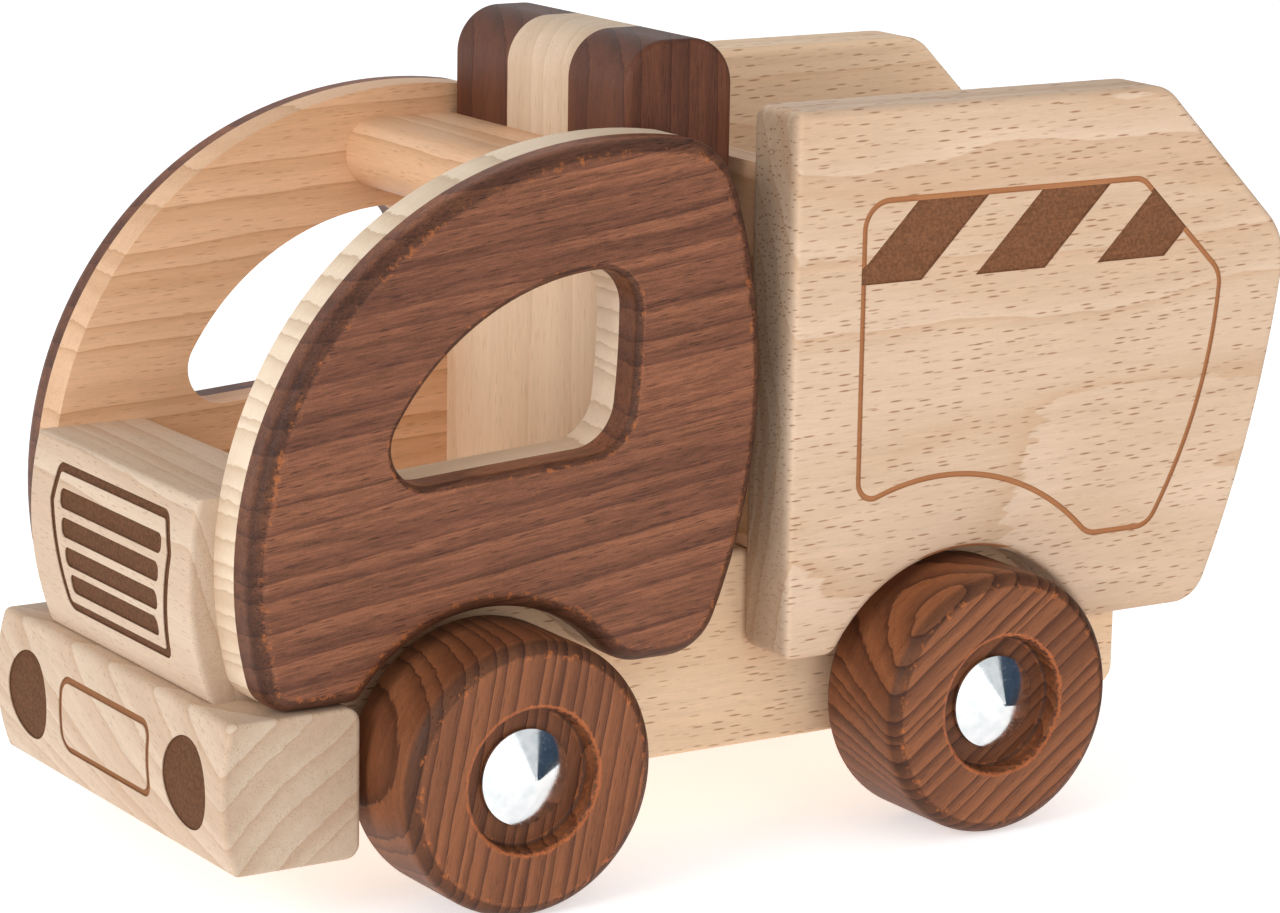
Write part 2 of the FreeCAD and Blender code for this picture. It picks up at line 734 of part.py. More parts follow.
def hopper_outline():
    """A box side with a sloped upper rear corner, a bowed rear edge and the rear wheel arch."""
    p = hopper_corners()
    arch_top = seat(size("wheelbase"), size("hopper_arch_height") + size("hopper_arch_radius"))
    rear_bow = seat(size("hopper_rear_bow_station"), size("hopper_rear_bow_height"))
    return [
        line(p["front_foot"], p["front_top"]),
        line(p["front_top"], p["slope_top"]),
        line(p["slope_top"], p["slope_foot"]),
        Part.Arc(p["slope_foot"], rear_bow, p["rear_foot"]),
        line(p["rear_foot"], p["arch_back"]),
        Part.Arc(p["arch_back"], arch_top, p["arch_front"]),
        line(p["arch_front"], p["front_foot"]),
    ]


def hopper_mark():
    """The burnt outline on a hopper side, which follows the side's own shape."""
    corners = [seat(70.5, 34.4), seat(70.5, 86.8), seat(129.0, 86.8), seat(147.1, 68.9),
               seat(133.0, 24.6), seat(119.6, 24.6)]
    bows = {3: seat(142.7, 44.8), 5: seat(97.0, 37.5)}
    return rounded_wire(corners, [3.0, 5.0, 4.0, 5.0, 4.5, 4.5], bows)


def stripes_within(outline):
    """Three slanted bars under the outline's upper edge, trimmed where they would cross it."""
    low, high = size("stripe_bottom_height"), size("stripe_top_height")
    field = Part.Face(outline.makeOffset2D(-size("side_line") / 2))
    wires = []
    for count in range(3):
        start = size("stripe_station") + count * size("stripe_pitch")
        end = start + size("stripe_width")
        lean = high - low
        corners = [seat(start, low), seat(end, low), seat(end + lean, high), seat(start + lean, high)]
        bar = Part.Face(Part.makePolygon(corners + corners[:1]))
        wires.append(bar.common(field).Faces[0].OuterWire)
    return wires


def hopper_side(side):
    body = side_plate(f"hopper_side_{side}", hopper_outline(), side, "sizes.hopper_inner_x",
                      "sizes.hopper_side")
    round_corners(body, hopper_corners(), [("slope_top", 7.5), ("slope_foot", 12.0), ("rear_foot", 7.0),
                                           ("arch_front", 3.0), ("front_foot", 2.5), ("front_top", 2.5)])
    sign = SIDES[side]
    inner, outer = sign * size("hopper_inner_x"), sign * (size("hopper_inner_x") + size("hopper_side"))
    for name, face in (("inner", inner), ("outer", outer)):
        round_edges(body, in_plane("X", face), "sizes.hopper_edge_radius", f"soften_{name}")
    for name, centres, radius, depth in (
            ("pivot_seat", [PIVOT], "sizes.pivot_radius", "sizes.pin_depth"),
            ("flap_pin_seat", [FLAP_PIN], "sizes.flap_pin_radius", "sizes.pin_depth"),
            ("dowel_bores", HOPPER_DOWELS, "sizes.small_dowel_radius", "sizes.small_dowel_side_depth")):
        drill_from_side(body, side, "sizes.hopper_inner_x", centres, radius, depth, outwards=True, name=name)
    mark = hopper_mark()
    outer_face = f"{sign} * (sizes.hopper_inner_x + sizes.hopper_side)"
    outline = new_sketch(body, "side_outline_sketch", "YZ_Plane", outer_face)
    draw_line_along(outline, mark, size("side_line"))
    pocket(body, outline, "sizes.mark_depth", along=side == "right", name="side_outline")
    stripes = new_sketch(body, "stripe_sketch", "YZ_Plane", outer_face)
    for wire in stripes_within(mark):
        draw_wire(stripes, wire)
    pocket(body, stripes, "sizes.mark_depth", along=side == "right", name="stripes")
    return body


def hopper_front_board():
    body = cross_piece("hopper_front_board", "sizes.front_board_station", "sizes.floor_height",
                       "sizes.front_board_station + sizes.board_thickness", "sizes.front_board_top_height",
                       "sizes.hopper_inner_x")
    for side in SIDES:
        drill_from_side(body, side, "sizes.hopper_inner_x", BOARD_DOWELS, "sizes.small_dowel_radius",
                        "sizes.small_dowel_depth", name="dowel_bores")
    return body


def hopper_floor():
    body = cross_piece("hopper_floor", "sizes.front_board_station + sizes.board_thickness",
                       "sizes.floor_height", "sizes.floor_end_station",
                       "sizes.floor_height + sizes.board_thickness", "sizes.hopper_inner_x")
    for side in SIDES:
        drill_from_side(body, side, "sizes.hopper_inner_x", FLOOR_DOWELS, "sizes.small_dowel_radius",
                        "sizes.small_dowel_depth", name="dowel_bores")
    return body


def rear_flap():
    """A hanging tailboard whose top is round about its own pin."""
    front, back = size("flap_station"), size("flap_station") + size("flap_thickness")
    bottom, pin = size("flap_bottom_height"), size("flap_pin_height")
    top = pin + size("flap_thickness") / 2
    points = [seat(front, bottom), seat(back, bottom), seat(back, pin), seat(front, pin)]
    outline = closed_lines(points)
    outline[2] = Part.Arc(points[2], seat((front + back) / 2, top), points[3])
    body = new_body("rear_flap")
    sketch = new_sketch(body, "flap_section", "YZ_Plane", "-sizes.flap_half_width")
    draw(sketch, outline)
    pad(body, sketch, "2 * sizes.flap_half_width")
    round_edges(body, along_x_at(points[1]), "sizes.flap_foot_radius", "round_foot")
    drill_from_side(body, "left", "sizes.flap_half_width", [FLAP_PIN],
                    "sizes.flap_pin_radius + sizes.running_clearance", "2 * sizes.flap_half_width",
                    name="pin_bore")
    return body


# ---------------------------------------------------------------- wheels and caps
def turned(label, profile, end, x):
    """A piece turned about an axle: its profile is drawn as (along, radius), then set in place."""
    body = new_body(label)
    sketch = new_sketch(body, f"{label}_profile", "XY_Plane")
    draw(sketch, profile)
    turn = body.newObject("PartDesign::Revolution", "turn")
    turn.Profile = sketch
    turn.ReferenceAxis = (sketch, ["H_Axis"])
    turn.Angle = 360
    station = "0" if end == "front" else "sizes.wheelbase"
    body.setExpression("Placement.Base.x", x)
    body.setExpression("Placement.Base.y", y_term(station))
    body.setExpression("Placement.Base.z", "sizes.wheel_radius")
    doc.recompute()
    return body


def wheel(end, side):
    """A turned wheel with a sunken hub face.  Its profile starts at the inner face."""
    sign = SIDES[side]
    wide, radius = size("wheel_width"), size("wheel_radius")
    bore = size("axle_radius") + size("running_clearance")
    hub, sunk = size("hub_recess_radius"), size("hub_recess_depth")
    corners = [(0, bore), (0, radius), (wide, radius), (wide, hub), (wide - sunk, hub), (wide - sunk, bore)]
    profile = closed_lines([V(sign * along, r, 0) for along, r in corners])
    body = turned(f"wheel_{end}_{side}", profile, end, f"{sign} * sizes.wheel_inner_x")
    for name, along, ring, edge_radius in (
            ("shoulder", wide, radius, "sizes.wheel_shoulder_radius"),
            ("back_edge", 0, radius, "sizes.wheel_back_edge_radius"),
            ("recess_rim", wide, hub, "sizes.hub_recess_edge"),
            ("recess_root", wide - sunk, hub, "sizes.hub_recess_edge")):
        local_test = on_ring(sign * along, ring)
        round_edges(body, local_test, edge_radius, f"round_{name}")
    return body


def hub_cap(end, side):
    """A pressed steel cap: a shallow cone with a blunt tip, over a collar on the axle's end."""
    sign = SIDES[side]
    rim, tall, thick = size("cap_radius"), size("cap_height"), size("cap_sheet")
    straight, shaft = size("cap_straight_rim"), size("axle_radius")
    slant = math.atan2(tall - straight, rim)
    tip = size("cap_nose_radius")

    def on_cone(radius, under=0.0):
        """A point of the cone, or of the parallel one a sheet's thickness under it."""
        along = straight + (rim - radius) * math.tan(slant) - under / math.cos(slant)
        return V(sign * along, radius, 0)

    def on_tip(turn):
        """A point of the ball that rounds off the cone, at an angle from the axle."""
        ball = tip / math.sin(slant)
        centre = on_cone(tip).x * sign - ball * math.cos(slant)
        return V(sign * (centre + ball * math.cos(turn)), ball * math.sin(turn), 0)

    grip = shaft + thick + 0.2
    points = [on_tip(0), on_tip(slant), on_cone(rim), V(0, rim, 0), V(0, rim - thick, 0),
              on_cone(rim - thick, thick), on_cone(grip, thick), V(0, grip, 0), V(0, shaft, 0),
              on_cone(shaft, thick), on_cone(0, thick)]
    profile = closed_lines(points)
    profile[0] = Part.Arc(points[0], on_tip(slant / 2), points[1])
    seat_x = f"{sign} * (sizes.wheel_inner_x + sizes.wheel_width - sizes.hub_recess_depth + sizes.side_gap)"
    return turned(f"hub_cap_{end}_{side}", profile, end, seat_x)


def wheel_spacer(end, side):
    """A plain ring on the axle that keeps a wheel clear of the beam."""
    sign = SIDES[side]
    bore, radius = size("axle_radius") + size("side_gap"), size("spacer_radius")
    long = size("wheel_inner_x") - size("beam_half_width") - size("side_gap")
    corners = [(0, bore), (0, radius), (long, radius), (long, bore)]
    profile = closed_lines([V(sign * along, r, 0) for along, r in corners])
    return turned(f"wheel_spacer_{end}_{side}", profile, end, f"{sign} * sizes.beam_half_width")


# ---------------------------------------------------------------- rods and dowels
LIE_ALONG_X = FreeCAD.Rotation(V(0, 1, 0), 90)
LIE_ALONG_Y = FreeCAD.Rotation(V(1, 0, 0), -90)
STAND = FreeCAD.Rotation()


def rod(label, radius, length, turn, x, y, z):
    """A cylinder that starts at x, y, z (numbers or expressions) and runs along its turned axis."""
    piece = doc.addObject("Part::Cylinder", label)
    piece.Label = label
    piece.setExpression("Radius", radius)
    piece.setExpression("Height", length)
    piece.Placement = FreeCAD.Placement(V(0, 0, 0), turn)
    for axis, term in zip("xyz", (x, y, z)):
        piece.setExpression(f"Placement.Base.{axis}", str(term))
    doc.recompute()
    return piece


def dowel_set(label, rods):
    """Several glued dowels of one kind, kept together as one piece of the list."""
    group = doc.addObject("Part::Compound", label)
    group.Label = label
    group.Links = rods
    doc.recompute()
    return group


def dowels_to_sides(label, joints, radius, face, buried, into_side):
    """Dowels along X at each joint, one on either side, across the plane of a face."""
    length = f"{buried} + {into_side} - 2 * sizes.dowel_end_gap"
    rods = []
    for joint in joints:
        for side in SIDES:
            near_end = f"{face} - {buried} + sizes.dowel_end_gap"
            far_end = f"-({face} + {into_side} - sizes.dowel_end_gap)"
            start = near_end if side == "left" else far_end
            name = f"{label}_{side}_{len(rods)}"
            rods.append(rod(name, radius, length, LIE_ALONG_X, start, joint.x, joint.y))
    return dowel_set(label, rods)


def end_dowels(label, places, turn, y=None, z=None):
    """Dowels along Y or Z, half in one piece and half in the next, about a plane."""
    length = "2 * sizes.dowel_depth - 2 * sizes.dowel_end_gap"
    back = "sizes.dowel_depth + sizes.dowel_end_gap"
    rods = []
    for count, place in enumerate(places):
        start_y = f"{y} - {back}" if y else place.y
        start_z = f"{z} - {back}" if z else place.y
        rods.append(rod(f"{label}_{count}", "sizes.dowel_radius", length, turn, place.x, start_y, start_z))
    return dowel_set(label, rods)


def axle(end):
    station = "0" if end == "front" else "sizes.wheelbase"
    return rod(f"{end}_axle", "sizes.axle_radius", "2 * sizes.axle_half_length", LIE_ALONG_X,
               "-sizes.axle_half_length", y_term(station), "sizes.wheel_radius")


def cross_pin(label, radius, place):
    """A pin held in blind seats of both hopper sides."""
    half = "(sizes.hopper_inner_x + sizes.pin_depth - sizes.dowel_end_gap)"
    return rod(label, radius, f"2 * {half}", LIE_ALONG_X, f"-{half}", place.x, place.y)


# ---------------------------------------------------------------- the truck
pieces = [chassis_beam(), front_bumper(), grille_block(), roof_bar(), cab_rear_wall()]
for index, name in enumerate(("right", "middle", "left")):
    pieces.append(roof_block_layer(f"roof_block_{name}", index))
pieces += [cab_side(layer, side) for layer in ("inner", "outer") for side in SIDES]
pieces += [hopper_side(side) for side in SIDES]
pieces += [hopper_front_board(), hopper_floor(), rear_flap()]
for end in ("front", "rear"):
    pieces.append(axle(end))
    for side in SIDES:
        pieces += [wheel(end, side), hub_cap(end, side), wheel_spacer(end, side)]
pieces += [
    cross_pin("tipping_pivot", "sizes.pivot_radius", PIVOT),
    cross_pin("flap_pin", "sizes.flap_pin_radius", FLAP_PIN),
    dowels_to_sides("cab_dowels", CAB_DOWELS, "sizes.dowel_radius", "sizes.cab_inner_x",
                    "sizes.dowel_depth", "sizes.dowel_layer_depth"),
    dowels_to_sides("hopper_dowels", HOPPER_DOWELS, "sizes.small_dowel_radius", "sizes.hopper_inner_x",
                    "sizes.small_dowel_depth", "sizes.small_dowel_side_depth"),
    end_dowels("bumper_dowels", BUMPER_DOWELS, LIE_ALONG_Y, y=y_term("sizes.beam_front_station")),
    end_dowels("roof_block_dowels", BLOCK_DOWELS, STAND, z=z_term("sizes.rear_wall_top_height")),
]

# Nothing is written unless every object recomputed and every piece is a sound solid.
doc.recompute()
failed = [item.Label for item in doc.Objects if {"Invalid", "Error"} & set(item.State)]
failed += [piece.Label for piece in pieces
           if piece.Shape.isNull() or not piece.Shape.isValid() or not piece.Shape.Solids]
if failed:
    raise RuntimeError(f"failed objects: {failed}")

os.makedirs("parts", exist_ok=True)
for piece in pieces:
    piece.Shape.exportStep(f"parts/{piece.Label}.step")
print(f"{len(pieces)} pieces written")
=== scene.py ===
"""Looks for the wooden toy truck: procedural timber, burnt marks, steel caps, a pale studio and the camera.

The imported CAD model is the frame.  Lengths in the material code are in millimetres, because grain,
pores and burnt lines are easier to read that way; everything placed in the scene is in metres.
"""
import math

import bpy
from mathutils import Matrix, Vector


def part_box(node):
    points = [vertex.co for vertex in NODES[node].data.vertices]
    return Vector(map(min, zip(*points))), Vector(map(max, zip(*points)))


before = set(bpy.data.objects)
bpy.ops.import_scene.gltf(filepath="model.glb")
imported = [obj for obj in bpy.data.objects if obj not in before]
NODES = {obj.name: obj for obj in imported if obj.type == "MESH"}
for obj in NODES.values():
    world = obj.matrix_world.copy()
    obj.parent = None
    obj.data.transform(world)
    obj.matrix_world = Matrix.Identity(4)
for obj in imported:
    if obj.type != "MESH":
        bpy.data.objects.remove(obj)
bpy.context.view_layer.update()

MM = 0.001


# ---------------------------------------------------------------- node helpers
class Graph:
    """Adds nodes to one node tree; every method returns an output socket."""

    def __init__(self, tree):
        self.tree = tree

    def node(self, kind, inputs=None, **settings):
        made = self.tree.nodes.new(kind)
        for name, value in settings.items():
            setattr(made, name, value)
        for name, value in (inputs or {}).items():
            self.feed(made.inputs[name], value)
        return made

    def feed(self, socket, value):
        if isinstance(value, bpy.types.NodeSocket):
            self.tree.links.new(value, socket)
        else:
            socket.default_value = value

    def maths(self, operation, first, second=0.0, third=0.0, clamp=False):
        inputs = {0: first, 1: second, 2: third}
        return self.node("ShaderNodeMath", inputs, operation=operation, use_clamp=clamp).outputs[0]

    def add(self, first, second):
        return self.maths("ADD", first, second)

    def times(self, first, second):
        return self.maths("MULTIPLY", first, second)

    def step(self, value, low, high, out_low=0.0, out_high=1.0):
        """A smooth step of value from low to high."""
        inputs = {"Value": value, "From Min": low, "From Max": high, "To Min": out_low, "To Max": out_high}
        return self.node("ShaderNodeMapRange", inputs, interpolation_type="SMOOTHSTEP").outputs["Result"]

    def vector(self, operation, first, second=(0.0, 0.0, 0.0)):
        made = self.node("ShaderNodeVectorMath", {0: first, 1: second}, operation=operation)
        return made.outputs["Value" if operation in ("DOT_PRODUCT", "LENGTH") else "Vector"]

    def split(self, vector):
        made = self.node("ShaderNodeSeparateXYZ", {0: vector})
        return made.outputs[0], made.outputs[1], made.outputs[2]

    def join(self, x, y, z):
        return self.node("ShaderNodeCombineXYZ", {0: x, 1: y, 2: z}).outputs[0]

    def noise(self, vector, scale, detail=2.0, roughness=0.5):
        inputs = {"Vector": vector, "Scale": scale, "Detail": detail, "Roughness": roughness}
        return self.node("ShaderNodeTexNoise", inputs).outputs["Fac"]

    def blend(self, factor, first, second, mode="MIX"):
        made = self.node("ShaderNodeMix", data_type="RGBA", blend_type=mode)
        self.feed(made.inputs["Factor"], factor)
        self.feed(made.inputs[6], first)
        self.feed(made.inputs[7], second)
        return made.outputs[2]


def colour(red, green, blue):
    """A linear colour from 0-255 display values."""
    def linear(value):
        value /= 255.0
        return value / 12.92 if value <= 0.04045 else ((value + 0.055) / 1.055) ** 2.4
    return (linear(red), linear(green), linear(blue), 1.0)


def new_material(name):
    material = bpy.data.materials.new(name)
    material.use_nodes = True
    material.node_tree.nodes.clear()
    graph = Graph(material.node_tree)
    shader = graph.node("ShaderNodeBsdfPrincipled")
    output = graph.node("ShaderNodeOutputMaterial")
    graph.feed(output.inputs["Surface"], shader.outputs["BSDF"])
    return material, graph, shader


# ---------------------------------------------------------------- timber
# Colours are display values.  ring is the spacing of the growth rings and wander how far they
# stray, both in mm.  A fleck is the cut end of a ray: its gap and half size are given along the
# grain, across it and into the board.  fibre is the strength of the fine streaks, the end-grain value
# the brightness of end grain, kept low on the beech and dark looks as painted shade for end faces in
# shaded gaps and window walls, and relief the depth of the bump in mm.  edge is the colour of the
# bright band beside rounded edges, partly rubbed wood and partly a painted highlight.
LOOKS = {
    "beech": dict(early=(220, 191, 164), late=(198, 159, 124), ring=5.0, wander=7.0, ring_depth=0.62,
                  fleck=(150, 102, 68), fleck_depth=0.80, fleck_gap=(3.4, 1.4, 0.7),
                  fleck_size=(1.45, 0.18, 0.36), fibre=0.15, end_grain_and_shade=0.66, rough=0.50, relief=0.03,
                  edge=None),
    # light_beech is also used for the chassis beam and the hopper floor; on the far hopper side it is a
    # brighter copy of beech, painted light for the shade on that side's inner face.
    "light_beech": dict(early=(238, 206, 172), late=(222, 182, 142), ring=5.0, wander=5.0, ring_depth=0.62,
                        fleck=(170, 122, 86), fleck_depth=0.80, fleck_gap=(3.4, 1.4, 0.7),
                        fleck_size=(1.45, 0.18, 0.36), fibre=0.15, end_grain_and_shade=0.90, rough=0.50, relief=0.03,
                        edge=None),
    "fine_beech": dict(early=(211, 187, 163), late=(184, 149, 118), ring=4.4, wander=2.4, ring_depth=0.60,
                       fleck=(150, 108, 76), fleck_depth=0.55, fleck_gap=(2.2, 0.5, 0.5),
                       fleck_size=(0.95, 0.10, 0.10), fibre=0.15, end_grain_and_shade=0.88, rough=0.50, relief=0.03,
                       edge=None),
    # warm is also used for the roof bar and the hopper's front board; on the far cab side's inner layer it is
    # raised as painted light for the shade that layer lies in.
    "warm": dict(early=(232, 188, 150), late=(198, 150, 108), ring=6.0, wander=3.0, ring_depth=0.80,
                 fleck=(170, 120, 82), fleck_depth=0.5, fleck_gap=(3.0, 0.6, 0.6),
                 fleck_size=(1.2, 0.12, 0.12), fibre=0.17, end_grain_and_shade=0.94, rough=0.50, relief=0.03, edge=None),
    "pale": dict(early=(236, 214, 188), late=(184, 152, 118), ring=3.0, wander=1.6, ring_depth=0.58,
                 fleck=(196, 160, 124), fleck_depth=0.35, fleck_gap=(3.0, 0.6, 0.6),
                 fleck_size=(1.2, 0.10, 0.10), fibre=0.10, end_grain_and_shade=1.0, rough=0.52, relief=0.03, edge=None),
    # ivory, on the cab's rear wall, is painted light: brighter than the wood, to make up for the shade inside
    # the cab.
    "ivory": dict(early=(240, 214, 184), late=(214, 182, 148), ring=5.0, wander=2.0, ring_depth=0.45,
                  fleck=(190, 150, 112), fleck_depth=0.6, fleck_gap=(3.4, 0.6, 0.6),
                  fleck_size=(1.5, 0.10, 0.10), fibre=0.13, end_grain_and_shade=1.0, rough=0.52, relief=0.03, edge=None),
    "cream": dict(early=(216, 190, 163), late=(190, 160, 130), ring=5.0, wander=2.0, ring_depth=0.45,
                  fleck=(172, 134, 100), fleck_depth=0.6, fleck_gap=(3.4, 0.6, 0.6),
                  fleck_size=(1.5, 0.10, 0.10), fibre=0.13, end_grain_and_shade=1.0, rough=0.52, relief=0.03, edge=None),
    "dark": dict(early=(134, 84, 59), late=(84, 48, 37), ring=5.2, wander=3.0, ring_depth=0.62,
                 fleck=(60, 33, 26), fleck_depth=0.75, fleck_gap=(3.0, 0.5, 0.5),
                 fleck_size=(1.5, 0.12, 0.12), fibre=0.90, end_grain_and_shade=0.66, rough=0.46, relief=0.06,
                 edge=(176, 102, 54)),
    "block": dict(early=(104, 61, 42), late=(66, 36, 26), ring=4.2, wander=1.6, ring_depth=0.65,
                  fleck=(50, 27, 20), fleck_depth=0.5, fleck_gap=(3.0, 0.55, 0.55),
                  fleck_size=(1.3, 0.11, 0.11), fibre=0.52, end_grain_and_shade=0.80, rough=0.46, relief=0.06,
                  edge=None),
    "wheel": dict(early=(144, 88, 56), late=(74, 40, 26), ring=2.5, wander=1.2, ring_depth=0.82,
                  fleck=(78, 43, 27), fleck_depth=0.5, fleck_gap=(2.6, 0.6, 0.6),
                  fleck_size=(1.1, 0.11, 0.11), fibre=0.42, end_grain_and_shade=0.80, rough=0.48, relief=0.10,
                  edge=(192, 108, 56)),
}

# How much bare wood shines.
GLOSS = 0.22


def box_middle(name):
    """The middle of a node's box, in mm."""
    low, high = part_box(name)
    return (Vector(low) + Vector(high)) / (2 * MM)


def place(graph):
    """Object coordinates in mm."""
    point = graph.node("ShaderNodeTexCoord").outputs["Object"]
    return graph.vector("MULTIPLY", point, (1 / MM, 1 / MM, 1 / MM))


def grain_space(graph, grain, radial, middle):
    """Coordinates about a piece's middle: x runs along the grain and z outwards across the rings."""
    along = Vector(grain).normalized()
    across = (Vector(radial) - along * Vector(radial).dot(along)).normalized()
    side = across.cross(along)
    point = graph.vector("SUBTRACT", place(graph), middle)
    return graph.join(*(graph.vector("DOT_PRODUCT", point, way) for way in (along, side, across)))


def rings(graph, space, look, pith):
    """0 in early wood, rising to 1 in the dark late wood at each ring's sharp outer edge."""
    slow = graph.vector("MULTIPLY", space, (0.010, 0.035, 0.035))
    stray = graph.times(graph.add(graph.noise(slow, 1.0, 2.0), -0.5), 2.0 * look["wander"])
    rough = graph.vector("MULTIPLY", space, (0.09, 0.6, 0.6))
    ragged = graph.times(graph.add(graph.noise(rough, 1.0, 3.0), -0.5), 0.9)
    _, y, z = graph.split(space)
    outwards = graph.add(graph.add(z, pith), graph.add(stray, ragged))
    radius = graph.vector("LENGTH", graph.join(0.0, y, outwards))
    uneven = graph.times(graph.noise(graph.join(0.0, 0.0, radius), 0.16, 2.0), 3.0)
    phase = graph.maths("FRACT", graph.add(graph.times(radius, 1.0 / look["ring"]), uneven))
    slope = graph.times(graph.step(phase, 0.10, 0.95), 0.72)
    line = graph.times(graph.step(phase, 0.80, 0.94), 0.28)
    return graph.times(graph.add(slope, line), graph.step(phase, 0.955, 1.0, 1.0, 0.0))


def ray_flecks(graph, space, look):
    """Spindles along the grain, one to each cell of a stretched Voronoi pattern."""
    gap, half = look["fleck_gap"], look["fleck_size"]
    cells = graph.vector("MULTIPLY", space, [1.0 / spacing for spacing in gap])
    voronoi = graph.node("ShaderNodeTexVoronoi", {"Vector": cells, "Scale": 1.0, "Randomness": 0.85})
    offset = graph.vector("SUBTRACT", cells, voronoi.outputs["Position"])
    shape = graph.vector("MULTIPLY", offset, [spacing / size for spacing, size in zip(gap, half)])
    spindle = graph.step(graph.vector("LENGTH", shape), 0.50, 1.15, 1.0, 0.0)
    strength = graph.step(graph.split(voronoi.outputs["Color"])[0], 0.05, 0.7, 0.25, 1.0)
    return graph.times(spindle, strength)


def shade(graph, value):
    """A grey of a given brightness, for multiplying."""
    return graph.node("ShaderNodeCombineColor", {0: value, 1: value, 2: value}).outputs[0]


def darken(graph, wood, value):
    return graph.blend(1.0, wood, shade(graph, value), mode="MULTIPLY")


def edge_shade_and_highlight(graph, normal):
    """Painted shade on a rounded edge, and 1 on the bright band next to the flat face, partly rubbed wood and
    partly a painted highlight.
    """
    facing = graph.maths("ABSOLUTE", graph.split(normal)[0])
    rounded = graph.times(graph.step(facing, 0.15, 0.55), graph.step(facing, 0.93, 0.985, 1.0, 0.0))
    rim = graph.times(graph.step(facing, 0.82, 0.93), graph.step(facing, 0.990, 0.9995, 1.0, 0.0))
    broken = graph.noise(graph.vector("MULTIPLY", place(graph), (0.3, 0.55, 0.55)), 1.0, 4.0, 0.75)
    return rounded, graph.times(rim, graph.step(broken, 0.52, 0.66))


def within(graph, value, low, high, soft=0.05):
    """1 between low and high, with soft ends."""
    rise = graph.step(value, low - soft, low + soft)
    return graph.times(rise, graph.step(value, high - soft, high + soft, 1.0, 0.0))


RECESS_RADIUS, RECESS_DEPTH = 11.8, 3.6


def hub_recess(name):
    """Painted shade in the recess of a wheel's outer face, and a bright turned rim, partly rubbed wood and
    partly a painted highlight.
    """
    low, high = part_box(name)
    face = max(abs(low[0]), abs(high[0])) / MM
    middle = box_middle(name)

    def finish(graph, wood):
        point = place(graph)
        x, y, z = graph.split(graph.vector("SUBTRACT", point, (0.0, middle.y, middle.z)))
        outer = graph.step(graph.maths("ABSOLUTE", x), face - RECESS_DEPTH - 0.6, face - RECESS_DEPTH - 0.3)
        radius = graph.vector("LENGTH", graph.join(0.0, y, z))
        rim_wobble = graph.times(graph.add(graph.noise(point, 1.1, 3.0, 0.6), -0.5), 1.6)
        ragged = graph.add(radius, rim_wobble)
        inside = graph.times(outer, graph.step(ragged, RECESS_RADIUS - 1.4, RECESS_RADIUS + 0.1, 1.0, 0.0))
        # Painted shade inside the recess.
        wood = darken(graph, wood, graph.add(graph.times(inside, -0.22), 1.0))
        # A bright band on the rim, partly rubbed wood and partly a painted highlight.
        rim = graph.times(outer, within(graph, ragged, RECESS_RADIUS + 0.25, RECESS_RADIUS + 0.75, 0.3))
        return graph.blend(graph.times(rim, 0.7), wood, colour(188, 104, 56))
    return finish


